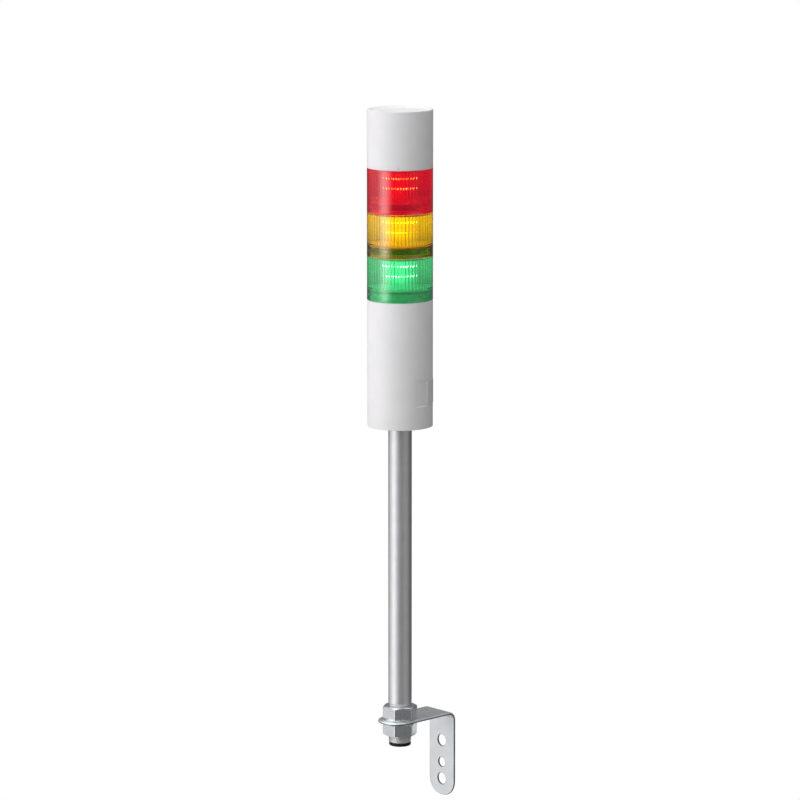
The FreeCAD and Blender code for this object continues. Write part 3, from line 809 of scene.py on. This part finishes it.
def noise(tree, scale, detail=4.0, stretch=(1, 1, 1)):
    """Noise in the object's own space, with scale in features per metre."""
    place = tree.nodes.new("ShaderNodeTexCoord")
    mapping = tree.nodes.new("ShaderNodeMapping")
    mapping.inputs["Scale"].default_value = stretch
    node = tree.nodes.new("ShaderNodeTexNoise")
    node.inputs["Scale"].default_value = scale
    node.inputs["Detail"].default_value = detail
    tree.links.new(place.outputs["Object"], mapping.inputs["Vector"])
    tree.links.new(mapping.outputs["Vector"], node.inputs["Vector"])
    return node.outputs["Fac"]


def around_mast(tree):
    """Angle round the mast's axis and height along it."""
    place = tree.nodes.new("ShaderNodeTexCoord")
    axes = tree.nodes.new("ShaderNodeSeparateXYZ")
    tree.links.new(place.outputs["Object"], axes.inputs["Vector"])
    across = calculate(tree, "SUBTRACT", axes.outputs["X"], AXIS_X * MM)
    along = calculate(tree, "SUBTRACT", axes.outputs["Y"], AXIS_Y * MM)
    return calculate(tree, "ARCTAN2", along, across), axes.outputs["Z"]


def tint(tree, shader, value, dark, light):
    """Base colour between dark and light, led by the value."""
    mix = tree.nodes.new("ShaderNodeMix")
    mix.data_type = "RGBA"
    mix.inputs[6].default_value = (*dark, 1)
    mix.inputs[7].default_value = (*light, 1)
    tree.links.new(remap(tree, value, *NOISE_MIDDLE, 0, 1), mix.inputs[0])
    tree.links.new(mix.outputs[2], shader.inputs["Base Color"])


def bumps(tree, shader, value, depth):
    """Fine relief led by the value, with depth in metres."""
    bump = tree.nodes.new("ShaderNodeBump")
    bump.inputs["Strength"].default_value = 1.0
    bump.inputs["Distance"].default_value = depth
    tree.links.new(value, bump.inputs["Height"])
    tree.links.new(bump.outputs["Normal"], shader.inputs["Normal"])


def plastic(name, dark, light, roughness, grain=6000, depth=2e-6, shine=0.5):
    material, tree, shader = new_material(name, Specular_IOR_Level=shine)
    cloud = noise(tree, 60)
    tint(tree, shader, cloud, dark, light)
    tree.links.new(remap(tree, cloud, *NOISE_MIDDLE, roughness - 0.03, roughness + 0.03),
                   shader.inputs["Roughness"])
    bumps(tree, shader, noise(tree, grain, 2), depth)
    return material


def metal(name, dark, light, roughness, grain, depth, stretch=(1, 1, 1), vary=0.04):
    material, tree, shader = new_material(name, Metallic=1.0)
    tint(tree, shader, noise(tree, 90), dark, light)
    lines = noise(tree, grain, 3, stretch)
    tree.links.new(remap(tree, lines, *NOISE_MIDDLE, roughness - vary, roughness + vary),
                   shader.inputs["Roughness"])
    bumps(tree, shader, lines, depth)
    return material


def glow(shader, colour, strength):
    shader.inputs["Emission Color"].default_value = (*colour, 1)
    if isinstance(strength, bpy.types.NodeSocket):
        shader.id_data.links.new(strength, shader.inputs["Emission Strength"])
    else:
        shader.inputs["Emission Strength"].default_value = strength


def clear_glass(name, colour, light, strength):
    """Clear tinted moulding with a faint painted glow standing in for its own chips' light."""
    material, tree, shader = new_material(name, Transmission_Weight=1.0, Roughness=0.03,
                                          IOR=1.3, Specular_IOR_Level=1.0,
                                          Coat_Weight=1.0, Coat_IOR=1.75,
                                          Coat_Roughness=0.05)
    tint(tree, shader, noise(tree, 200, 3), tuple(c * DEEP_SHARE for c in colour), colour)
    # painted glow of the chips' light in the clear moulding
    glow(shader, light, strength)
    return material


def painted_glow_flutes(name, colour, light, level, low, high):
    """The fluted inner wall, with painted glow standing in for the chips' light that it gathers
    and passes on, and painted shade on its ribs and towards its foot.
    """
    material, tree, shader = new_material(name, Transmission_Weight=1.0, Roughness=0.05,
                                          IOR=1.3)
    tint(tree, shader, noise(tree, 200, 3), tuple(c * DEEP_SHARE for c in colour), colour)
    angle, height = around_mast(tree)
    wave = calculate(tree, "COSINE", calculate(tree, "MULTIPLY", angle, FLUTE_COUNT))
    # painted shade: the ribs between the flutes glow less
    ribs = remap(tree, wave, *RIB_EDGE, RIB_PAINTED_SHADE, 1)
    # painted shade: the glow fades towards the flutes' feet
    rise = remap(tree, height, low * MM, high * MM, FLUTE_FOOT_PAINTED_GLOW_SHARE, 1)
    shade = calculate(tree, "MULTIPLY", ribs, rise)
    glow(shader, light, calculate(tree, "MULTIPLY", shade, level))
    return material


def near_rows(tree, height, rows, reach):
    """One at the height of each row of chips, falling to nothing within reach."""
    nearest = None
    for row in rows:
        away = calculate(tree, "ABSOLUTE",
                         calculate(tree, "SUBTRACT", height, row * MM))
        nearest = away if nearest is None else calculate(tree, "MINIMUM", nearest, away)
    return remap(tree, nearest, 0, reach * MM, 1, 0)


def painted_glow_drum(name, light, level, rows):
    """White reflector with painted glow standing in for the light of the rows of chips on it,
    brightest at each row.
    """
    material, tree, shader = new_material(name, Roughness=0.4)
    tint(tree, shader, noise(tree, 300, 3), (0.84, 0.84, 0.82), (0.9, 0.9, 0.88))
    height = around_mast(tree)[1]
    near = near_rows(tree, height, rows, DRUM_PAINTED_GLOW_REACH)
    # painted glow on the drum, brightest at each row of chips
    glow(shader, light, calculate(tree, "MULTIPLY_ADD", near, level, level * DRUM_PAINTED_GLOW_BASE_SHARE))
    return material


def lit_chip(name, light, level, rows):
    """Pale chip package with a small bright die in its middle."""
    material, tree, shader = new_material(name, Roughness=0.35)
    tint(tree, shader, noise(tree, 900, 2), (0.85, 0.8, 0.6), (0.9, 0.86, 0.7))
    angle, height = around_mast(tree)
    wave = calculate(tree, "COSINE", calculate(tree, "MULTIPLY", angle, DRUM_SIDES))
    middle = remap(tree, wave, *DIE_EDGE, 0, 1)
    near = near_rows(tree, height, rows, CHIP_DIE_REACH)
    die = calculate(tree, "MULTIPLY", middle, near)
    uneven = remap(tree, noise(tree, CHIP_SPREAD, 0.0), *CHIP_NOISE, *CHIP_RANGE)
    die = calculate(tree, "MULTIPLY", die, uneven)
    glow(shader, light, calculate(tree, "MULTIPLY", die, level))
    return material


def dress(piece, *materials):
    for material in materials:
        piece.data.materials.append(material)


def dress_node(node, material):
    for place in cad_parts[node].material_slots:
        place.material = material


# Light of the photograph's studio

def surround():
    """The studio's light, which changes with its direction: a dim room, a brighter upper half,
    a light overhead and soft upright panels round the mast."""
    world = bpy.data.worlds.new("studio")
    scene.world = world
    world.use_nodes = True
    tree = world.node_tree
    place = tree.nodes.new("ShaderNodeTexCoord")
    turn = tree.nodes.new("ShaderNodeVectorRotate")
    turn.rotation_type = "Z_AXIS"
    turn.inputs["Angle"].default_value = math.radians(90 - CAMERA_AZIMUTH)
    tree.links.new(place.outputs["Generated"], turn.inputs["Vector"])
    axes = tree.nodes.new("ShaderNodeSeparateXYZ")
    tree.links.new(turn.outputs["Vector"], axes.inputs["Vector"])
    angle = calculate(tree, "ARCTAN2", axes.outputs["Y"], axes.outputs["X"])
    rise = axes.outputs["Z"]
    total = calculate(tree, "ADD",
                      remap(tree, rise, *SKY_FADE, ROOM_LEVEL, ROOM_LEVEL + SKY_LEVEL),
                      remap(tree, rise, *OVERHEAD_FADE, 0, OVERHEAD_LEVEL))
    for centre, reach, low, level, high in PANELS:
        away = calculate(tree, "ABSOLUTE",
                         calculate(tree, "SUBTRACT", angle, math.radians(centre)))
        away = calculate(tree, "MINIMUM", away, calculate(tree, "SUBTRACT", 2 * math.pi, away))
        upright = calculate(tree, "ADD", remap(tree, rise, *FLOOR_FADE, low, level),
                            remap(tree, rise, *UPPER_FADE, 0, high - level))
        panel = calculate(tree, "MULTIPLY", upright,
                          remap(tree, away, 0, math.radians(reach), 1, 0))
        total = calculate(tree, "ADD", total, panel)
    background = tree.nodes["Background"]
    background.inputs["Color"].default_value = STUDIO_COLOUR
    tree.links.new(total, background.inputs["Strength"])


def backdrop():
    """A plain white floor below the part and a white surround, seen by the camera alone."""
    material = bpy.data.materials.new("plain_white")
    material.use_nodes = True
    tree = material.node_tree
    tree.nodes.clear()
    light = tree.nodes.new("ShaderNodeEmission")
    light.inputs["Color"].default_value = (1, 1, 1, 1)
    light.inputs["Strength"].default_value = 1.0
    out = tree.nodes.new("ShaderNodeOutputMaterial")
    tree.links.new(light.outputs[0], out.inputs["Surface"])
    floor_mesh = bmesh.new()
    bmesh.ops.create_circle(floor_mesh, cap_ends=True, segments=96, radius=BACKDROP_FLOOR_RADIUS)
    floor = finished("studio_floor", floor_mesh)
    floor.location.z = cad_low.z - BACKDROP_DROP
    dome_mesh = bmesh.new()
    bmesh.ops.create_uvsphere(dome_mesh, u_segments=48, v_segments=24,
                              radius=BACKDROP_RADIUS)
    dome = finished("studio_surround", dome_mesh)
    for piece in (floor, dome):
        dress(piece, material)
        piece.visible_diffuse = False
        piece.visible_glossy = False
        piece.visible_transmission = False
        piece.visible_shadow = False


def camera():
    data = bpy.data.cameras.new("camera")
    data.sensor_width = SENSOR_WIDTH
    data.lens = FOCAL_PIXELS / PHOTO_SIZE * SENSOR_WIDTH
    data.clip_start = CLIP_NEAR
    data.clip_end = CLIP_FAR
    eye = bpy.data.objects.new("camera", data)
    turn = math.radians(CAMERA_AZIMUTH - 90)
    eye.location = Vector((AXIS_X + CAMERA_DISTANCE * math.cos(turn),
                           AXIS_Y + CAMERA_DISTANCE * math.sin(turn),
                           PLATE_TOP + CAMERA_ABOVE_PLATE)) * MM
    eye.rotation_euler = (math.radians(90 - CAMERA_TILT), 0, math.radians(CAMERA_AZIMUTH))
    scene.collection.objects.link(eye)
    scene.camera = eye


# The picture: camera, light and backdrop
scene.view_settings.view_transform = "Standard"
camera()
surround()
backdrop()

# Materials of the plain pieces
white = plastic("white_moulding", (0.85, 0.85, 0.85), (0.88, 0.88, 0.88), 0.55)
white_film = plastic("white_film", (0.78, 0.78, 0.79), (0.80, 0.80, 0.81), 0.45)
black = plastic("black_moulding", (0.02, 0.02, 0.022), (0.03, 0.03, 0.032), 0.45)
reflector = plastic("white_reflector", (0.84, 0.84, 0.82), (0.9, 0.9, 0.88), 0.4)
rubber = plastic("black_rubber", (0.008, 0.008, 0.009), (0.014, 0.014, 0.015), 0.5,
                 grain=3000, depth=6e-6, shine=0.2)
silicone = plastic("pale_silicone", (0.74, 0.74, 0.72), (0.8, 0.8, 0.78), 0.5)
board = plastic("solder_mask", (0.01, 0.09, 0.03), (0.015, 0.12, 0.045), 0.35)
white_board = plastic("white_solder_mask", (0.8, 0.8, 0.78), (0.86, 0.86, 0.84), 0.35)
terminal = plastic("terminal_moulding", (0.03, 0.16, 0.07), (0.04, 0.2, 0.09), 0.45)
alloy = metal("cast_alloy", (0.5, 0.51, 0.52), (0.6, 0.61, 0.62), 0.45, 900, 2e-5)
tube = metal("satin_tube", (0.71, 0.71, 0.72), (0.75, 0.75, 0.76), 0.5, 2500, 1e-6,
             stretch=(1, 1, 0.02))
nickel = metal("nickel_plate", (0.72, 0.76, 0.77), (0.78, 0.82, 0.83), 0.3, 1500, 2e-6)
zinc = metal("zinc_plate", (0.72, 0.76, 0.77), (0.78, 0.81, 0.82), 0.42, 1200, 4e-6)
# the shear's rough grain, darkened with painted shade for the cut walls
cut_edge_painted_shade = metal("sheared_edge_and_painted_shade", (0.12, 0.12, 0.13), (0.22, 0.22, 0.23), 0.5, 3000, 2e-5)

# Light units, from the case upward
for unit in ("green", "amber", "red"):
    lens_low, lens_high = extent(unit + "_lens")
    tier_top = lens_high.z - NECK_HEIGHT
    chip_rows = [tier_top - CHIP_DROP, tier_top - CHIP_DROP - CHIP_PITCH]
    # Flutes, clear mouldings and drums carry painted glow; the chips are the lamps.
    dress(lens(unit),
          clear_glass(unit + "_clear", LENS_COLOURS[unit], PAINTED_GLOW_COLOURS[unit], SKIRT_PAINTED_GLOW[unit]),
          painted_glow_flutes(unit + "_flutes", LENS_COLOURS[unit], PAINTED_GLOW_COLOURS[unit],
                     FLUTE_PAINTED_GLOW[unit], lens_low.z + LEDGE_TOP, chip_rows[0]))
    dress_node(unit + "_light_drum",
               painted_glow_drum(unit + "_drum", PAINTED_GLOW_COLOURS[unit], DRUM_PAINTED_GLOW[unit], chip_rows))
    dress_node(unit + "_light_chips",
               lit_chip(unit + "_chip", CHIP_COLOURS[unit], CHIP_GLOW[unit], chip_rows))
    dress_node(unit + "_carrier", reflector)
    dress_node(unit + "_contact_board", white_board)
    dress_node(unit + "_seal_ring", silicone)

# Cap, case, pole, clamp and the pieces inside
dress(cap(), white)
dress(case(), white)
dress_node("blank_plate", white_film)
dress(pole(), tube)
dress(nut("upper_nut", chamfer_up=True), nickel)
dress(nut("lower_nut", chamfer_up=False), nickel)
dress(washer("upper_washer"), nickel)
dress(washer("lower_washer"), nickel)
dress(bush(), rubber)
dress(bracket(), zinc, cut_edge_painted_shade)
dress_node("pole_flange", alloy)
dress_node("flange_screws", nickel)
dress_node("set_screw", nickel)
dress_node("control_board", board)
dress_node("terminal_block", terminal)
dress_node("case_contact_board", board)
dress_node("case_seal_ring", silicone)
dress_node("head_carrier", black)
dress_node("sounder_board", board)
dress_node("sounder", black)
